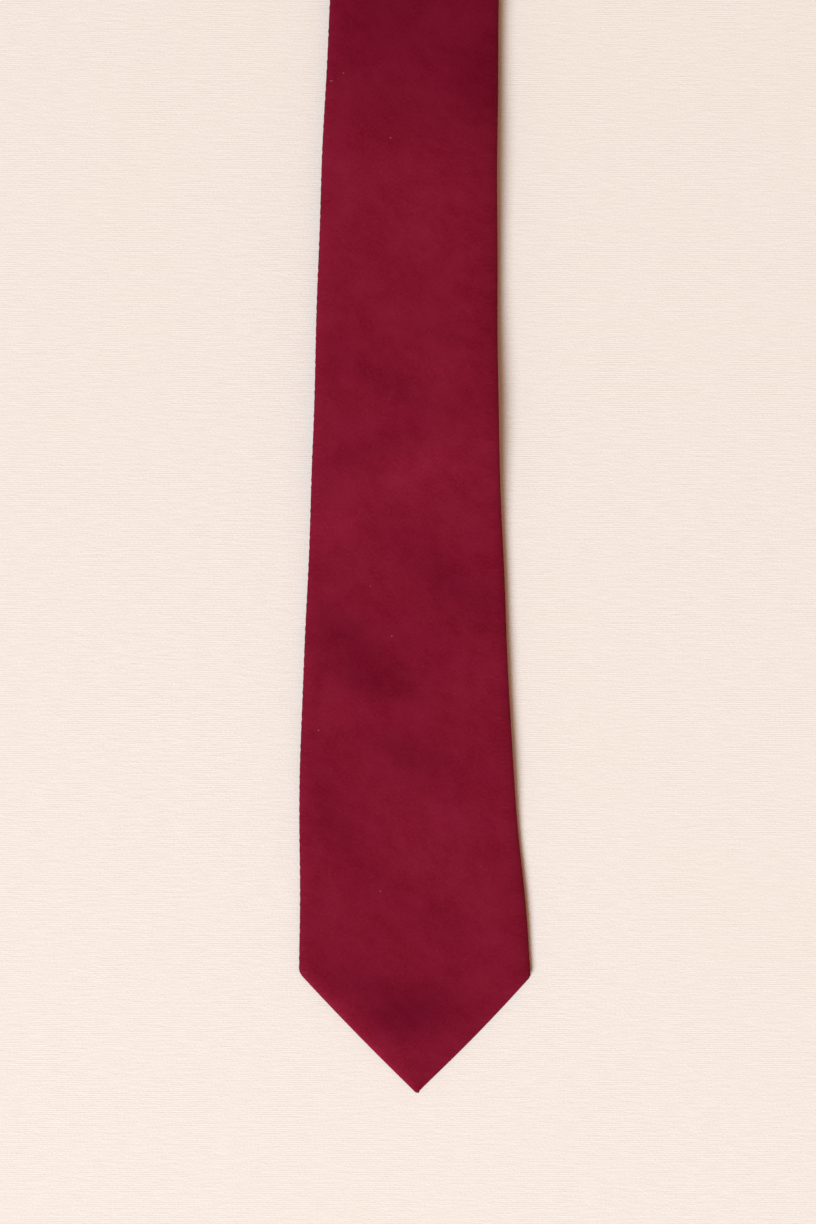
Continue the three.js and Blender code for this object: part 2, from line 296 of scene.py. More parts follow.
def half_width(s, right=True):
    """Half the tie's width at s, along its middle from the front tip."""
    from_corner = np.maximum(s - blade_width / 2, 0)
    taper = np.maximum(1 - from_corner / taper_length, 0)
    flare = blade_flare * np.maximum(1 - from_corner / flare_length, 0) ** flare_curve
    front = (blade_width - neck_width - blade_flare) * taper + flare
    from_tail = np.maximum(tie_length - s - tail_width / 2, 0)
    tail = (tail_width - neck_width) * np.maximum(1 - from_tail / tail_taper_length, 0)
    body = (neck_width + front + tail) / 2 + edge_waver(s, right)
    body = body - waist_depth * np.exp(-((s - waist_at) / waist_length) ** 2)
    hem = point_edge(np.minimum(s, tie_length - s), right)
    return soft_min(hem, body, np.where(right, 0.8, 1.5) * MM)


def point_edge(from_tip, right):
    """The hems of a point: the right one bulges a little, the left one is hollow."""
    hem_reach = blade_width / 2
    near = np.minimum(from_tip, hem_reach)
    bulge, hollow_curve = 0.8 * MM, 1.4
    bulged = from_tip - 0.1 * MM + bulge * np.sin(math.pi * near / hem_reach)
    hollow = from_tip + 0.9 * MM - hollow_curve * near ** 2
    return np.maximum(np.where(right, bulged, hollow), tip_width / 2)


def flap_edge(s):
    """How far a back flap's edge stands from the middle: closed above the bar tacks, and
    spread apart below them to the hem of the point."""
    nearer_front = s < tie_length / 2
    from_tip = np.where(nearer_front, s, tie_length - s)
    tack = np.where(nearer_front, front_tack_at, tail_tack_at)
    point = np.where(nearer_front, blade_width, tail_width) / 2
    hem = from_tip - hem_width * math.sqrt(2)
    corner = point - hem_width * math.sqrt(2)
    spread = corner * (np.maximum(tack - from_tip, 0) / (tack - point)) ** 0.9
    opening = np.where(from_tip < point, hem, np.minimum(hem, spread))
    narrowest = seam_gap / 2
    return np.maximum(opening, narrowest)


def bow(s):
    """The blade bows a little to the left of a straight line."""
    fade = 1 - smoothstep(0.77 * side_bow_length, 1.23 * side_bow_length, s)
    arch = side_bow * np.sin(math.pi * s / side_bow_length) * fade
    lean = 0.65 * MM * smoothstep(50 * MM, 90 * MM, s) * fade
    kink = 0.6 * MM * np.exp(-((s - 115 * MM) / (35 * MM)) ** 2)
    return -arch - lean - kink


def thinning(s):
    """The points are pressed thinner than the rest."""
    return 0.58 + 0.42 * smoothstep(0, 40 * MM, np.minimum(s, tie_length - s))


# Soft ridges of the resting cloth, in millimetres: along the tie, side, half length,
# half width, slant in degrees, height.
soft_ridges = [
    (16, -2, 10, 20, 8, 1.2),
    (80, -26, 11, 13, -28, 0.8),
    (95, 8, 13, 22, -12, 0.9),
    (60, 30, 15, 10, 0, 0.7),
    (130, -12, 11, 17, -12, 1.1),
    (150, 12, 9, 20, -26, 0.7),
    (186, -12, 22, 22, 28, 0.8),
    (208, -2, 7, 20, 20, 0.35),
    (230, -6, 7, 18, -28, 0.40),
    (243, 10, 8, 14, 0, 0.45),
    (302, 6, 22, 42, 6, 1.4),
    (380, -6, 30, 44, -15, 0.9),
    (470, 6, 34, 44, 14, 1.0),
    (570, -5, 40, 44, -10, 0.9),
]


def soft_sum(patches, s, side):
    """The sum of soft round patches at each place, for the ridges and the painted light and
    shade.
    """
    total = np.zeros(np.broadcast(s, side).shape)
    for along, across, length, width, slant, size in patches:
        turn = math.radians(slant)
        x, y = side - across * MM, s - along * MM
        u = (x * math.cos(turn) + y * math.sin(turn)) / (width * MM)
        v = (y * math.cos(turn) - x * math.sin(turn)) / (length * MM)
        total += size * np.exp(-u * u - v * v)
    return total


def droop(s, side):
    """The front blade's edges hang a little past the tail blade under it."""
    over_tail = smoothstep(lift_at - 10 * MM, lift_at + 50 * MM, s)
    fade = 1 - smoothstep(fold_start - 140 * MM, fold_start - 60 * MM, s)
    hang, held_up = 1.5 * MM, 15 * MM
    past = np.maximum(np.abs(side) - held_up, 0) / (14 * MM)
    return hang * np.minimum(past, 1.2) ** 2 * over_tail * fade


def fold_gate(s):
    """0 at the neck fold, where the cloth is pulled flat, and 1 away from it."""
    return 1 - np.exp(-((s - fold_at) / (25 * MM)) ** 2)


def middle_line(s):
    """Place along the table and height of the middle of the cloth."""
    low = tail_height * thinning(s)
    over_labels = back_room * smoothstep(front_tack_at - 38 * MM, front_tack_at - 8 * MM, s)
    step = (front_height - tail_height - back_room) * smoothstep(
        lift_at - step_length, lift_at - 2 * MM, s)
    rise_end = fold_start - 4 * MM
    fold_top = tail_height + 2 * fold_radius
    rise = (fold_top - front_height) * smoothstep(rise_end - fold_rise_length, rise_end, s)
    front = low + over_labels + step + rise
    turn = np.clip((s - fold_start) / fold_radius, 0, math.pi)
    tail_run = np.maximum(s - fold_start - math.pi * fold_radius, 0)
    height = np.where(s < fold_start, front, low + fold_radius * (1 + np.cos(turn)))
    y = np.minimum(s, fold_start) + fold_radius * np.sin(turn) - tail_run
    return y, height


def ridge_gate(s):
    """Ridges fade out towards the fold, and at the tip, which lies on the table."""
    fade = 1 - smoothstep(fold_start - 160 * MM, fold_start - 80 * MM, s)
    return fade * smoothstep(4 * MM, 50 * MM, s)


def on_tie(s, side, out):
    """Where a point of the tie is: s along its middle from the front tip, side to the
    right, and out from the middle of its thickness towards the cloth's face."""
    s, side, out = np.broadcast_arrays(s, side, out)
    y, height = middle_line(s)
    step = 0.25 * MM
    y_before, height_before = middle_line(s - step)
    y_after, height_after = middle_line(s + step)
    run, climb = y_after - y_before, height_after - height_before
    length = np.hypot(run, climb)
    run, climb = run / length, climb / length
    on_front = s < fold_start
    lift = soft_sum(soft_ridges, s, side) * MM * ridge_gate(s)
    lie = np.where(on_front, lift - droop(s, side), 0)
    bowed = bow(np.where(on_front, s, y))
    out = out * thinning(s)
    return np.stack([
        middle_x + side + bowed, tip_y + y - climb * out, height + run * out + lie,
    ], axis=-1)


# Painted light and shade on the cloth: patches painted lighter or darker to stand in for the
# shading of its gentle undulations, darkest towards the top, with a painted highlight along
# the left hem of the point.
# In millimetres: along the tie, side, half length, half width, slant in degrees, and how much
# lighter.
painted_light_patches = [
    (7, -3, 8, 12, 0, -0.02),
    (19, -17, 4, 26, -45, 0.14),
    (26, -2, 9, 15, 6, -0.30),
    (37, -19, 6, 12, -14, -0.14),
    (58, 8, 7, 26, -30, -0.05),
    (72, 8, 10, 20, -30, 0.06),
    (92, -24, 19, 7, 28, -0.12),
    (112, -2, 6, 17, -28, -0.12),
    (121, -22, 8, 9, -30, 0.05),
    (128, 22, 10, 8, 0, 0.06),
    (135, -10, 6, 13, -20, -0.17),
    (150, -20, 7, 14, -32, -0.17),
    (147, 4, 5, 14, -32, -0.06),
    (168, 14, 6, 22, -32, -0.14),
    (172, -8, 6, 14, -20, 0.06),
    (186, -22, 7, 10, 20, 0.12),
    (203, 6, 11, 18, 30, 0.12),
    (213, -8, 3.5, 16, 22, -0.09),
    (231, -6, 3.5, 16, -34, -0.08),
    (238, 12, 6, 9, 0, 0.08),
    (285, 0, 26, 30, 0, 0.03),
    (350, -12, 26, 30, 8, -0.22),
    (332, 24, 20, 16, 0, -0.20),
    (366, 14, 16, 30, 0, -0.10),
]


def cloth_piece(name, points, faces, flat_place, finish):
    """A closed mesh whose points know where they lie on the flat cloth."""
    mesh = bpy.data.meshes.new(name)
    mesh.from_pydata(points.reshape(-1, 3).tolist(), [], faces)
    place = mesh.attributes.new("flat_cloth", "FLOAT_VECTOR", "POINT")
    place.data.foreach_set("vector", flat_place.astype(np.float32).ravel())
    across, along = flat_place.reshape(-1, 3).T[:2]
    # Painted light and shade: how much lighter or darker the cloth's colour is painted at each
    # point.
    nap = mesh.attributes.new("nap", "FLOAT", "POINT")
    nap.data.foreach_set("value", soft_sum(painted_light_patches, along, across).astype(np.float32))
    working = bmesh.new()
    working.from_mesh(mesh)
    bmesh.ops.recalc_face_normals(working, faces=working.faces)
    working.to_mesh(mesh)
    working.free()
    mesh.shade_smooth()
    mesh.set_sharp_from_angle(angle=math.radians(60))
    mesh.materials.append(finish)
    piece = bpy.data.objects.new(name, mesh)
    scene.collection.objects.link(piece)
    return piece


def solid_of_rings(name, points, flat_place, finish):
    """A closed strip of cloth.  Each row of points goes down one surface and back up the
    other."""
    rows, count = points.shape[:2]
    ring, i = np.meshgrid(np.arange(rows - 1), np.arange(count), indexing="ij")
    here, j = ring * count + i, (i + 1) % count
    sides = np.stack([here, here + count, (ring + 1) * count + j, ring * count + j], -1)
    a = np.arange(count // 2 - 1)
    b = count - 1 - a
    last = (rows - 1) * count
    first_end = np.stack([a, a + 1, b - 1, b], -1)
    last_end = last + first_end[:, ::-1]
    faces = np.concatenate([sides.reshape(-1, 4), first_end, last_end]).tolist()
    return cloth_piece(name, points, faces, flat_place, finish)


def flap_fullness(s, side, width):
    """The flaps stand a little full, with a bead where their edges are turned in."""
    on_front = s < fold_at
    full = np.where(on_front, 0.10, 0.20) * (1 - (side / width) ** 2) * (s > lift_at)
    off_table = smoothstep(front_tack_at - 38 * MM, front_tack_at - 8 * MM, s)
    bead = np.exp(-((side - flap_edge(s)) / (1.4 * MM)) ** 2)
    return (full + np.where(on_front, 0.10 * off_table, 0.15) * bead) * MM


# Columns of mesh on each side of the tie, and the kinds of column.
flap_columns, roll_columns, half_face_columns = 14, 9, 17
FLAP, ROLL, FACE, MIDDLE = range(4)
seam_turn_in = 1.2 * MM


def tube_surface(rows, shear, inset, turned_in):
    """One surface of the folded cloth at each row: place along, side, out, and place
    across the flat cloth.  shear is 1 where the cloth ends on a bias seam."""
    flap = np.linspace(0, 1, flap_columns, endpoint=False)
    bend = np.linspace(-math.pi / 2, math.pi / 2, roll_columns, endpoint=False)
    face = np.linspace(0, 1, half_face_columns, endpoint=False)
    kinds = np.repeat([FLAP, ROLL, FACE], [flap_columns, roll_columns, half_face_columns])
    share = np.concatenate([flap, bend, face])
    kinds = np.concatenate([kinds, [MIDDLE], kinds[::-1]])
    share = np.concatenate([share, [1.0], share[::-1]])
    right = np.arange(len(kinds)) <= len(kinds) // 2
    sign = np.where(right, 1.0, -1.0)

    def section(s):
        width = half_width(s, right)
        soft = np.minimum(np.where(right, right_roll, left_roll), 0.8 * width)
        depth = half_thickness - inset
        opening = np.minimum(flap_edge(s), width - 0.9 * soft)
        on_flap = opening + (width - soft - opening) * share
        on_roll = width - soft + (soft - inset) * np.cos(share)
        on_face = (width - soft) * (1 - share)
        across_roll = width - soft * np.sin(share)
        flap_or_roll = [kinds == FLAP, kinds == ROLL]
        side = np.select(flap_or_roll, [on_flap, on_roll], on_face)
        out = np.select(flap_or_roll, [-depth, depth * np.sin(share)], depth)
        across = np.select(flap_or_roll, [2 * width - on_flap, across_roll], on_face)
        return width, side, out, across

    across = section(rows[:, None])[-1]
    s = rows[:, None] + shear[:, None] * sign * across
    width, side, out, across = section(s)
    off_middle = np.clip(side / width, 0, 1)
    crown = 0.35 * MM * (1 - off_middle ** 2) * (s < fold_start)
    out = out + np.where(kinds >= FACE, crown, 0) * fold_gate(s)
    out = out - np.where(kinds == FLAP, flap_fullness(s, side, width), 0) * fold_gate(s)
    out = out * (1 - turned_in[:, None])
    return s, sign * side, out, sign * across


def cloth_tube(name, rows, seam, seam_end, finish):
    """The tie's cloth, folded into a flat tube.  Towards its bias seam the rows lean over
    to 45 degrees, and it is turned in at the end there."""
    shear = 1 - smoothstep(0.5 * MM, 75 * MM, np.abs(rows - seam))
    close = np.clip(1 - np.abs(rows - seam_end) / seam_turn_in, 0, 1)
    turned_in = 0.3 * close ** 2
    outer = tube_surface(rows, shear, 0.0, turned_in)
    inner = tube_surface(rows, shear, cloth_thickness, turned_in)
    points, flat_place = [], []
    for s, side, out, across in (outer, [part[:, ::-1] for part in inner]):
        points.append(on_tie(s, side, out))
        flat_place.append(np.stack([across, s, np.zeros_like(s)], -1))
    return solid_of_rings(
        name, np.concatenate(points, 1), np.concatenate(flat_place, 1), finish)


def seam_rows(start, end, spacing, seams=(), extra=()):
    """Rows from start to end, closer together near the bias seams and where asked."""
    close = [0.0, 0.15, 0.35, 0.6, 0.9, 1.2]
    ends = [s + side * gap * MM for s in seams for gap in close for side in (-1, 1)]
    even = np.arange(start, end, spacing)
    rows = np.array([start, end, *even, *extra, *ends])
    rows = np.unique(np.round(rows[(rows >= start) & (rows <= end)], 6))
    least_gap = 0.04 * MM
    return rows[np.insert(np.diff(rows) > least_gap, 0, True)]


def tie_cloth():
    """Fine matte twill, cut on the bias, so that its threads run at 45 degrees."""
    finish = Finish("burgundy_tie_cloth", 0.82)
    quarter_turn = math.pi / 4
    pitch = 0.42 * MM
    wander = finish.noise(finish.cloth_place(220), 2.0)
    warp_place = finish.cloth_place(1 / pitch, quarter_turn)
    bent = finish.add("VectorMath", {0: warp_place, 1: wander}, operation="ADD").outputs[0]
    split = finish.add("SeparateXYZ", {0: bent})
    waves = []
    for axis in (0, 1):
        angle = finish.combine("MULTIPLY", split.outputs[axis], 2 * math.pi)
        waves.append(finish.add("Math", {0: angle}, operation="SINE").outputs[0])
    weave = finish.combine("MULTIPLY", waves[0], waves[1])
    warp = finish.noise(finish.cloth_place(1, quarter_turn, (1900, 260, 1)), 3.0, 0.65)
    weft = finish.noise(finish.cloth_place(1, quarter_turn, (260, 1900, 1)), 3.0, 0.65)
    grain = finish.noise(finish.cloth_place(1150), 3.0, 0.75)
    threads = finish.combine("ADD", warp, weft)
    cloud = finish.noise(finish.cloth_place(62), 3.0, 0.6)
    small_cloud = finish.noise(finish.cloth_place(1, quarter_turn, (260, 150, 1)), 2.0)

    # Darker where the threads and grain sink in the bump relief: the yarn's own mottle, partly
    # painted shade between the threads.
    deep, full = (0.147, 0.0038, 0.0157), (0.186, 0.0061, 0.0212)
    mixed = finish.combine("ADD", threads, finish.combine("MULTIPLY", grain, 2.0))
    colour = finish.blend_colours(finish.stretch_range(mixed, 1.65, 2.35), deep, full)
    for share, shade in (
        (finish.stretch_range(cloud, 0.42, 0.70, 0.0, 0.45), (0.215, 0.0112, 0.032)),
        (finish.stretch_range(small_cloud, 0.35, 0.70, 0.0, 0.35), (0.211, 0.0109, 0.031)),
        # Painted highlight where the grain relief rises, and painted shade where it sinks.
        (finish.stretch_range(grain, 0.58, 0.80, 0.0, 0.22), (0.25, 0.040, 0.060)),
        (finish.stretch_range(grain, 0.38, 0.20, 0.0, 0.40), (0.110, 0.001, 0.008)),
    ):
        colour = finish.blend_colours(share, colour, shade)
    lint = finish.add("TexVoronoi", {"Vector": finish.cloth_place(190), "Scale": 1.0})
    rare = finish.stretch_range(lint.outputs["Distance"], 0.060, 0.025)
    seldom = finish.stretch_range(finish.noise(finish.cloth_place(150), 1.0), 0.60, 0.64)
    speck = finish.combine("MULTIPLY", finish.combine("MULTIPLY", rare, seldom), 0.30)
    colour = finish.blend_colours(speck, colour, (0.52, 0.26, 0.28))
    # Painted light and shade: the colour is scaled lighter or darker by each point's stored
    # share, and redder where darker.
    nap = finish.add("Attribute", attribute_name="nap").outputs["Fac"]
    shading_scale = finish.combine("ADD", nap, 1.0)
    tint = finish.add("CombineXYZ", {0: shading_scale, 1: finish.combine("POWER", shading_scale, 2.0), 2: shading_scale})
    shaded_colour = finish.add(
        "VectorMath", {0: colour, 1: tint.outputs[0]}, operation="MULTIPLY")
    finish.colour(shaded_colour.outputs[0])
    rough = finish.stretch_range(threads, 0.7, 1.3, 0.72, 0.9)
    finish.set(finish.shader, {
        "Roughness": rough, "Specular IOR Level": 0.08, "Specular Tint": (1.0, 0.2, 0.3, 1),
        "Sheen Weight": 0.04, "Sheen Roughness": 0.5, "Sheen Tint": (1.0, 0.10, 0.20, 1),
    })
    relief = finish.combine("ADD", finish.combine("MULTIPLY", weave, 0.30), threads)
    relief = finish.combine("ADD", relief, finish.combine("MULTIPLY", grain, 1.2))
    finish.bump(relief, 0.6, 0.10 * MM)
    return finish.material


burgundy = tie_cloth()

front_end = front_seam_at - half_groove
front_rows = seam_rows(
    0, front_end, 2.2 * MM, seams=[front_end],
    extra=[*np.arange(0, 8.8, 0.55) * MM, *np.arange(8.8, 360, 1.1) * MM],
)
front_blade = cloth_tube(
    "front_blade_cloth", front_rows, front_seam_at, front_end, burgundy)
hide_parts("front_blade_lower", "front_blade_upper")


def lift_blend(piece):
    """Bakes the piece's placement into its points."""
    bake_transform(piece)


lift_blend(front_blade)


# ---- Neck band ----------------------------------------------------------------------
# The narrow middle piece of the tie's cloth, joined to the two blades by bias seams.  It
# is folded once here, in a soft roll, and each half of it bends between the fold and
# the blade that it belongs to.
neck_front_start, neck_tail_end = front_seam_at + half_groove, tail_seam_at - half_groove
neck_front_rows = seam_rows(
    neck_front_start, fold_at, 1.8 * MM, seams=[neck_front_start],
    extra=np.arange(fold_start - 2 * MM, fold_at, 0.6 * MM),
)
neck_front = cloth_tube(
    "neck_band_front_cloth", neck_front_rows, front_seam_at, neck_front_start, burgundy)
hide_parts("neck_band_front", "neck_band_fold")
neck_tail_rows = seam_rows(
    fold_at, neck_tail_end, 1.8 * MM, seams=[neck_tail_end],
    extra=np.arange(fold_at, fold_at + 11 * MM, 0.6 * MM),
)
neck_tail = cloth_tube(
    "neck_band_tail_cloth", neck_tail_rows, tail_seam_at, neck_tail_end, burgundy)
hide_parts("neck_band_tail", "neck_band_fold")


def fold_blend(piece, upper):
    """Bakes the piece's placement into its points."""
    if upper:
        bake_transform(piece)
    else:
        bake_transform(piece)


for piece, upper, start, end in (
    (neck_front, True, front_seam_at, fold_at), (neck_tail, False, fold_at, tail_seam_at),
):
    fold_blend(piece, upper)


# ---- Tail blade ---------------------------------------------------------------------
# The narrow end of the tie, cut and folded like the front blade.  It lies face down
# under the front blade, with its back up.
tail_start = tail_seam_at + half_groove
near_point = [*np.arange(0, 8, 0.5), *np.arange(16, 25, 0.7)]
tail_rows = seam_rows(
    tail_start, tie_length, 2.2 * MM, seams=[tail_start],
    extra=[tie_length - gap * MM for gap in near_point],
)
tail_blade = cloth_tube("tail_blade_cloth", tail_rows, tail_seam_at, tail_start, burgundy)
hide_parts("tail_blade")
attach(tail_blade, "tail")


# ---- Bias seams ---------------------------------------------------------------------
# The blades and the neck band are stitched together by machine, face to face, and opened
# out.  Only a fine line of thread shows, at the bottom of the groove between the cloths.
def sewing_thread():
    """Spun polyester thread, dyed to match the cloth."""
    finish = Finish("burgundy_thread", 0.55)
    twist = finish.noise(finish.cloth_place(5200, 0.6, (1, 0.25, 1)), 2.0)
    fuzz = finish.noise(finish.cloth_place(900), 2.0)
    share = finish.stretch_range(finish.combine("ADD", twist, fuzz), 0.7, 1.3)
    finish.colour(finish.blend_colours(share, (0.10, 0.006, 0.016), (0.24, 0.018, 0.042)))
    finish.set(finish.shader, {"Specular IOR Level": 0.3, "Specular Tint": (1, 0.4, 0.5, 1)})
    finish.bump(twist, 0.5, 0.06 * MM)
    return finish.material


def thread_piece(name, path, radius, finish):
    """A thread of three twisted strands, laid along a path of places."""
    strands, lay = 3, 1.3 * MM
    sides = strands * 3
    step = np.diff(path, axis=0)
    length = np.concatenate([[0], np.cumsum(np.linalg.norm(step, axis=1))])
    heading = np.gradient(path, axis=0)
    heading /= np.linalg.norm(heading, axis=1, keepdims=True)
    across = np.zeros_like(path)
    across[0] = np.cross(heading[0], (0.31, 0.47, 0.83))
    for i in range(len(path)):
        before = across[max(i - 1, 0)]
        across[i] = before - heading[i] * before.dot(heading[i])
        across[i] /= np.linalg.norm(across[i])
    other = np.cross(heading, across)
    angle = np.linspace(0, 2 * math.pi, sides, endpoint=False)
    turn = 2 * math.pi * length[:, None] / lay
    thick = radius * (1 + 0.16 * np.cos(strands * angle - turn))
    ring = np.cos(angle)[:, None] * across[:, None] + np.sin(angle)[:, None] * other[:, None]
    points = path[:, None] + thick[..., None] * ring
    rows = len(path)
    i, j = np.meshgrid(np.arange(rows - 1), np.arange(sides), indexing="ij")
    here, beside = i * sides + j, i * sides + (j + 1) % sides
    faces = np.stack([here, here + sides, beside + sides, beside], -1).reshape(-1, 4)
    ends = [list(range(sides))[::-1], list(range((rows - 1) * sides, rows * sides))]
    place = np.stack(np.broadcast_arrays(radius * angle, length[:, None], 0.0), -1)
    return cloth_piece(name, points, faces.tolist() + ends, place, finish)


matching_thread = sewing_thread()
seam_thread, stitch_length = 0.09 * MM, 2.5 * MM
for name, seam, body in (
    ("front_bias_seam", front_seam_at, "front_upper"),
    ("tail_bias_seam", tail_seam_at, "tail"),
):
    s, side, out, across = tube_surface(
        np.array([seam]), np.ones(1), inset=0.42 * MM, turned_in=np.full(1, 0.3))
    wave = 0.05 * MM * np.sin(across * 2 * math.pi / stitch_length)
    bias_seam = thread_piece(
        f"{name}_thread", on_tie(s + wave, side, out)[0], seam_thread, matching_thread)
    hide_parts(name)
    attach(bias_seam, body)


# ---- Interlining --------------------------------------------------------------------
# Brushed wool and cotton, cut on the bias to the tie's finished shape, in two lengths
# that meet behind the neck band.  It gives the tie its body and lies loose in the cloth.
def interlining_wool():
    """Undyed fleecy canvas, with its coarse yarns on the bias."""
    finish = Finish("interlining_wool", 0.95)
    fleece = finish.noise(finish.cloth_place(700), 4.0, 0.7)
    yarn = finish.noise(finish.cloth_place(1, math.pi / 4, (900, 160, 1)), 2.0)
    share = finish.stretch_range(finish.combine("ADD", fleece, yarn), 0.7, 1.3)
    finish.colour(finish.blend_colours(share, (0.60, 0.54, 0.43), (0.80, 0.75, 0.65)))
    finish.bump(fleece, 0.6, 0.2 * MM)
    return finish.material


def flat_strip(name, rows, half_at, low, high, finish, columns=12):
    """A flat layer of the tie.  low and high are its two surfaces' distances out from the
    middle of the cloth, as numbers or worked out from each row and side."""
    share = np.linspace(-1, 1, columns)[None]
    s = np.broadcast_to(rows[:, None], (len(rows), columns))
    side = half_at(s) * share
    points, flat_place = [], []
    for level, step in ((low, 1), (high, -1)):
        out = level(s, side) if callable(level) else np.full_like(s, level)
        points.append(on_tie(s, side, out)[:, ::step])
        flat_place.append(np.stack([side, s, np.zeros_like(s)], -1)[:, ::step])
    return solid_of_rings(
        name, np.concatenate(points, 1), np.concatenate(flat_place, 1), finish)


def inside_edge(room):
    """Half the width left inside the envelope, with some room at the rolled edges."""
    return lambda s: np.minimum(half_width(s, True), half_width(s, False)) - room


undyed_wool = interlining_wool()
wool_under, wool_top = -0.1 * MM, 0.7 * MM
join_at, half_join, point_room = 600 * MM, 0.2 * MM, 3 * MM
bending_rows = [
    *np.arange(fold_start - 2 * MM, fold_start + 20 * MM, 0.9 * MM),
    *np.arange(lift_at - 18 * MM, lift_at + 3 * MM, 0.9 * MM),
]
for name, start, end, nodes in (
    ("blade_interlining", point_room, join_at - half_join,
     ("blade_interlining_lower", "blade_interlining_upper")),
    ("neck_interlining", join_at + half_join, fold_at,
     ("tail_interlining_front", "tail_interlining_fold")),
    ("tail_interlining", fold_at, tie_length - point_room,
     ("tail_interlining_fold", "tail_interlining")),
):
    rows = seam_rows(start, end, 6 * MM, extra=bending_rows)
    layer = flat_strip(
        f"{name}_wool", rows, inside_edge(2.0 * MM), wool_under, wool_top, undyed_wool)
    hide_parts(*nodes)
    if name == "blade_interlining":
        lift_blend(layer)
    else:
        fold_blend(layer, upper=name == "neck_interlining")


# ---- Tippings -----------------------------------------------------------------------
# Satin lining sewn behind each point, under the hem and the two flaps, to hide the
# interlining where the flaps stand open.
def satin_lining():
    """Thin burgundy satin, with its long floats across the tie."""
    finish = Finish("satin_lining", 0.42)
    float_threads = finish.noise(finish.cloth_place(1, 0, (420, 3600, 1)), 2.0, 0.6)
    cloud = finish.noise(finish.cloth_place(60), 2.0)
    share = finish.stretch_range(float_threads, 0.35, 0.65)
    thin = finish.blend_colours(share, (0.085, 0.004, 0.012), (0.155, 0.008, 0.024))
    worn = finish.stretch_range(cloud, 0.35, 0.65, 0.0, 0.4)
    finish.colour(finish.blend_colours(worn, thin, (0.17, 0.010, 0.028)))
    finish.set(finish.shader, {"Specular IOR Level": 0.3, "Anisotropic": 0.5})
    finish.bump(float_threads, 0.35, 0.05 * MM)
    return finish.material


lining = satin_lining()
satin_under, satin_top = -0.7 * MM, -0.4 * MM
past_tack, short_of_tip = 12 * MM, 2.8 * MM
for name, body, start, end in (
    ("front_tipping", "front_lower", short_of_tip, front_tack_at + past_tack),
    ("tail_tipping", "tail", tie_length - tail_tack_at - past_tack,
     tie_length - short_of_tip),
):
    rows = seam_rows(start, end, 2.5 * MM)
    tipping = flat_strip(
        f"{name}_satin", rows, inside_edge(2.1 * MM), satin_under, satin_top, lining,
        columns=24)
    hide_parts(name)
    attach(tipping, body)


# ---- Slip stitch --------------------------------------------------------------------
# One long hand-sewn thread runs in the folds of the two flaps and crosses from one to
# the other every few stitches, so that the tie can stretch and recover when it is tied.
def back_surface(s, side):
    """How far out the back of the cloth lies, on the flaps."""
    full = flap_fullness(s, np.abs(side), half_width(s))
    return -half_thickness - full * fold_gate(s)


def slip_stitch_path(start, end):
    """Stitches that run inside one flap, come out over its edge, cross the seam and go
    into the other flap.  Each place is along the tie, to the side and out."""
    stitch = 8 * MM
    inside, in_cloth, edge = 1.3 * MM, 1.05 * MM, 0.8 * MM
    under_flap, through_flap = -0.84 * MM, -1.2 * MM
    path = []
    for i in range(int((end - start) / stitch)):
        s, sign = start + i * stitch, 1 if i % 2 else -1
        for k in np.linspace(0.10, 0.90, 5):
            path.append((s + k * stitch, sign * inside, under_flap))
        back = float(back_surface(s + stitch, edge))
        over_edge, in_seam = back - 0.06 * MM, back + 0.22 * MM
        path.append((s + 0.95 * stitch, sign * in_cloth, through_flap))
        path.append((s + 0.97 * stitch, sign * edge, over_edge))
        path.append((s + 1.00 * stitch, 0, in_seam))
        path.append((s + 1.03 * stitch, -sign * edge, over_edge))
        path.append((s + 1.05 * stitch, -sign * in_cloth, through_flap))
    s, side, out = np.array(path).T
    return on_tie(s, side, out)


slip_thread = 0.13 * MM
for name, start, end, nodes in (
    ("slip_stitch_blade", front_tack_at + 2 * MM, front_seam_at - 3 * MM,
     ("slip_stitch_lower", "slip_stitch_front")),
    ("slip_stitch_neck", front_seam_at + 3 * MM, fold_at,
     ("slip_stitch_front", "slip_stitch_fold")),
    ("slip_stitch_tail_side", fold_at, tie_length - tail_tack_at - 2 * MM,
     ("slip_stitch_fold", "slip_stitch_tail")),
):
    slip = thread_piece(name, slip_stitch_path(start, end), slip_thread, matching_thread)
    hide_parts(*nodes)
    if name == "slip_stitch_blade":
        lift_blend(slip)
    else:
        fold_blend(slip, upper=name == "slip_stitch_neck")


# ---- Bar tacks ----------------------------------------------------------------------
# A thick bar of thread across the flaps at each end of the slip stitch: a few long
# stitches, bound over and over with the same thread.
def bar_tack_path(at):
    """Four long stitches side by side, then the turns that bind them."""
    path = []
    long_stitches, apart = 4, 0.32 * MM
    half_bar, in_cloth = 4 * MM, -1.1 * MM
    for i in range(long_stitches):
        sign, s = (1 if i % 2 else -1), at + (i - 1.5) * apart
        for share in (-1.05, -1.0, -0.6, -0.2, 0.2, 0.6, 1.0, 1.05):
            top = float(back_surface(at, share * half_bar)) - 0.10 * MM
            path.append((s, -sign * share * half_bar, in_cloth if abs(share) > 1 else top))
    turns, points = 17, 10
    round_bar, over_bar = 0.78 * MM, 0.24 * MM
    for i in range(turns * points):
        angle = 2 * math.pi * i / points
        side = (i / (turns * points) * 2 - 1) * 0.84 * half_bar
        top = float(back_surface(at, side)) - 0.14 * MM
        s = at + round_bar * math.cos(angle)
        path.append((s, side, top + over_bar * math.sin(angle)))
    s, side, out = np.array(path).T
    return on_tie(s, side, out)


bar_thread = 0.16 * MM
for name, at, body in (
    ("front_bar_tack", front_tack_at, "front_lower"),
    ("tail_bar_tack", tie_length - tail_tack_at, "tail"),
):
    tack = thread_piece(f"{name}_thread", bar_tack_path(at), bar_thread, matching_thread)
    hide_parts(name)
    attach(tack, body)


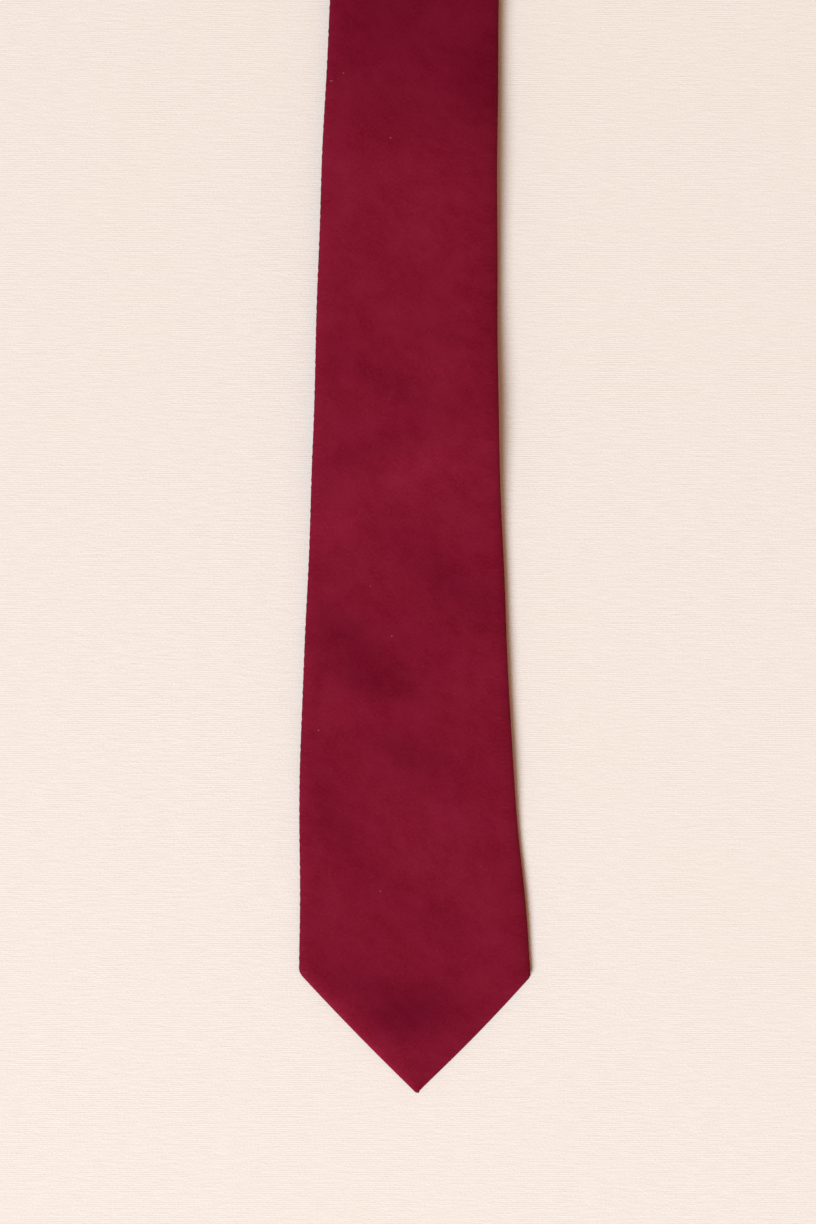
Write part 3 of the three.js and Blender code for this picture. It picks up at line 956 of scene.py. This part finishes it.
# ---- Blank label --------------------------------------------------------------------
# A plain woven damask label without any lettering, sewn down by its two short sides.
# Loose between them, it can hold the tail blade like the keeper loop does.
label_at, label_size = 145 * MM, (44 * MM, 22 * MM)
label_border = 4.5 * MM


def damask(name):
    """Black damask, with a border down each short side where the weave turns."""
    finish = Finish(name, 0.6)
    rib = finish.noise(finish.cloth_place(1, 0, (5200, 700, 1)), 2.0, 0.6)
    field = finish.noise(finish.cloth_place(1, 0, (700, 5200, 1)), 2.0, 0.6)
    place = finish.add("SeparateXYZ", {0: finish.cloth_place(1)})
    from_side = finish.add("Math", {0: place.outputs[0]}, operation="ABSOLUTE").outputs[0]
    border_at = label_size[0] / 2 - label_border
    border = finish.stretch_range(from_side, border_at - 0.1 * MM, border_at + 0.1 * MM)
    weave = finish.add("Mix", {0: border, 2: rib, 3: field}).outputs[0]
    share = finish.stretch_range(weave, 0.35, 0.65)
    dark = finish.blend_colours(share, (0.007, 0.006, 0.008), (0.022, 0.019, 0.023))
    finish.colour(finish.blend_colours(
        finish.combine("MULTIPLY", border, 0.30), dark, (0.060, 0.052, 0.060)))
    finish.set(finish.shader, {"Specular IOR Level": 0.2})
    finish.bump(weave, 0.45, 0.08 * MM)
    return finish.material


def off_back(distance):
    """A level some distance off the back of the flaps, bridging the seam between them."""
    def level(s, side):
        seam, clear = 1.6 * MM, 0.08 * MM
        return back_surface(s, np.maximum(np.abs(side), seam)) - distance - clear
    return level


def label_level(distance):
    """The label lies flat at its sewn sides, and loose and slightly rippled between."""
    def level(s, side):
        sewn_at = 19 * MM
        loose = np.cos(np.clip(side / sewn_at, -1, 1) * math.pi / 2)
        ripple = 0.07 * MM * np.sin(s / (5 * MM)) * loose
        return off_back(distance)(s, side) - 0.16 * MM * loose - ripple
    return level


label_under, label_top = 0.02 * MM, 0.30 * MM
rows = np.linspace(label_at - label_size[1] / 2, label_at + label_size[1] / 2, 20)
label = flat_strip(
    "blank_label_damask", rows, lambda s: np.full_like(s, label_size[0] / 2),
    label_level(label_under), label_level(label_top), damask("label_damask"), columns=48)
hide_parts("blank_label")
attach(label, "front_lower")

black_thread = damask("label_thread")
label_stitch, stitches_at, small_thread = 2.2 * MM, 20.6 * MM, 0.12 * MM
for name, sign in (("label_stitch_left", -1), ("label_stitch_right", 1)):
    s = label_at + np.linspace(-10, 10, 81) * MM
    side = np.full_like(s, sign * stitches_at)
    dip = np.maximum(np.cos((s - label_at) * 2 * math.pi / label_stitch), -0.4)
    out = label_level(label_top)(s, side) - 0.02 * MM - 0.16 * MM * dip
    stitches = thread_piece(f"{name}_thread", on_tie(s, side, out), small_thread, black_thread)
    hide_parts(name)
    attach(stitches, "front_lower")


# ---- Keeper loop --------------------------------------------------------------------
# A narrow band of the tie's own cloth, sewn to the flaps at both ends.  The tail is
# slipped through it when the tie is worn.
keeper_at, keeper_length, keeper_width = 174 * MM, 48 * MM, 12 * MM
keeper_foot, keeper_bow = 5 * MM, 0.30 * MM
keeper_under, keeper_top = 0, 0.52 * MM


def keeper_level(distance):
    """The band bows off the tie between its two feet, and its long edges are rounded."""
    def level(s, side):
        from_end = keeper_length / 2 - np.abs(side)
        bowed = keeper_bow * smoothstep(0.6 * keeper_foot, 2.2 * keeper_foot, from_end)
        rounded = 0.14 * MM * ((s - keeper_at) / (keeper_width / 2)) ** 4
        outer = distance == keeper_top
        return off_back(distance)(s, side) - bowed + (rounded if outer else -rounded)
    return level


rows = np.linspace(keeper_at - keeper_width / 2, keeper_at + keeper_width / 2, 17)
keeper = flat_strip(
    "keeper_loop_band", rows, lambda s: np.full_like(s, keeper_length / 2),
    keeper_level(keeper_under), keeper_level(keeper_top), burgundy, columns=60)
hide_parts("keeper_loop")
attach(keeper, "front_lower")

keeper_tack_at, tack_length, zigzags, zigzag_width = 23.0 * MM, 9 * MM, 20, 0.55 * MM
for name, sign in (("keeper_tack_left", -1), ("keeper_tack_right", 1)):
    share = np.linspace(0, 1, 90)
    s = keeper_at + (share - 0.5) * tack_length
    zigzag = np.abs((share * zigzags) % 2 - 1) * 2 - 1
    side = sign * (keeper_tack_at + zigzag_width * zigzag)
    out = keeper_level(keeper_top)(s, side) - 0.08 * MM + 0.10 * MM * zigzag ** 2
    tack = thread_piece(f"{name}_thread", on_tie(s, side, out), small_thread, matching_thread)
    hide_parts(name)
    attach(tack, "front_lower")


# ---- Care label ---------------------------------------------------------------------
# A small blank tape of white satin, laid over the slip stitch on the back of the tail
# blade and caught down by it.
def white_satin():
    """White tape with its floats along the tie."""
    finish = Finish("care_label_satin", 0.45)
    warp = finish.noise(finish.cloth_place(1, 0, (4200, 380, 1)), 2.0, 0.6)
    share = finish.stretch_range(warp, 0.35, 0.65)
    finish.colour(finish.blend_colours(share, (0.66, 0.64, 0.60), (0.82, 0.81, 0.78)))
    finish.set(finish.shader, {"Anisotropic": 0.4})
    finish.bump(warp, 0.35, 0.05 * MM)
    return finish.material


care_size = (18 * MM, 26 * MM)
care_at = tie_length - 135 * MM


def care_level(distance):
    """The tape lies close, with a slight wave along it."""
    def level(s, side):
        curl = 0.05 * MM * np.sin((s - care_at) / (4.1 * MM))
        return off_back(distance)(s, side) - np.abs(curl)
    return level


rows = np.linspace(care_at - care_size[1] / 2, care_at + care_size[1] / 2, 27)
care_label = flat_strip(
    "care_label_satin", rows, lambda s: np.full_like(s, care_size[0] / 2),
    care_level(-0.05 * MM), care_level(0.12 * MM), white_satin(), columns=22)
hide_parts("care_label")
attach(care_label, "tail")
